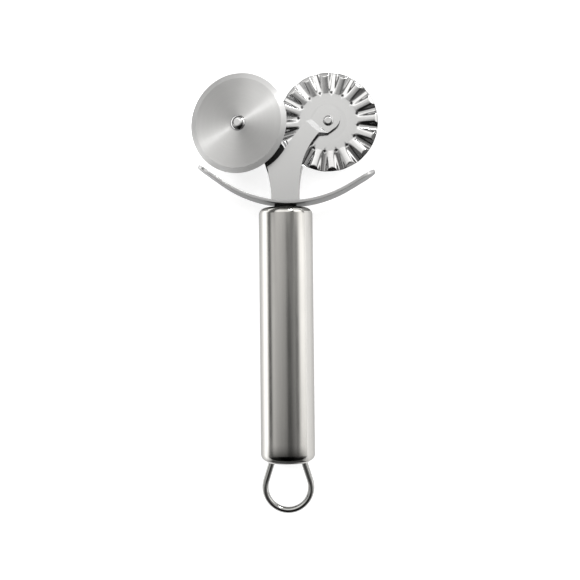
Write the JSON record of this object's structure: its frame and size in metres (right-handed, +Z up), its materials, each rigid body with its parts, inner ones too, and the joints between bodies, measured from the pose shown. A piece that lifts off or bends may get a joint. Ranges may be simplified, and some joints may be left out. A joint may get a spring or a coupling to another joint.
{
  "type": "pastry cutter wheel",
  "caption": "Pastry cutter with a smooth and a fluted wheel riveted to a forked steel head, curved finger guard, tubular handle and wire hanging loop.",
  "frame": {"origin": "on the axis of the cylindrical handle, near its middle", "axes": "+Y along the handle towards the wheels, +X to the fluted wheel's side, +Z up from the surface the tool lies on"},
  "size_m": [0.0856, 0.2003, 0.0244],
  "materials": {
    "handle_steel": "brushed along the grip",
    "cap_steel": "satin",
    "plug_steel": "as machined",
    "pin_steel": "as machined",
    "wire_steel": "polished",
    "guard_steel": "satin",
    "plate_steel": "satin",
    "rivet_steel": "polished",
    "smooth_wheel_steel": "turned, ground bevel",
    "fluted_wheel_steel": "pressed, ground rim"
  },
  "bodies": {
    "frame": {"handle_tube": "handle_steel", "front_cap": "cap_steel", "tang_plug": "plug_steel", "tang_pin": "pin_steel", "end_cap": "cap_steel", "end_plug": "plug_steel", "hanging_loop": "wire_steel", "finger_guard": "guard_steel", "front_plate": "plate_steel", "back_plate": "plate_steel", "smooth_rivet": "rivet_steel", "smooth_washer": "pin_steel", "fluted_rivet": "rivet_steel", "fluted_washer": "pin_steel"},
    "smooth_wheel": {"smooth_wheel": "smooth_wheel_steel"},
    "fluted_wheel": {"fluted_wheel": "fluted_wheel_steel"}
  },
  "joints": [
    {"name": "smooth_wheel_spin", "type": "hinge", "parent": "frame", "child": "smooth_wheel", "pos_m": [-0.0203, 0.0961, 0.002], "axis": [-0.265, 0.0349, 0.9636], "continuous": true},
    {"name": "fluted_wheel_spin", "type": "hinge", "parent": "frame", "child": "fluted_wheel", "pos_m": [0.0198, 0.0975, -0.002], "axis": [0, 0, -1], "continuous": true}
  ]
}
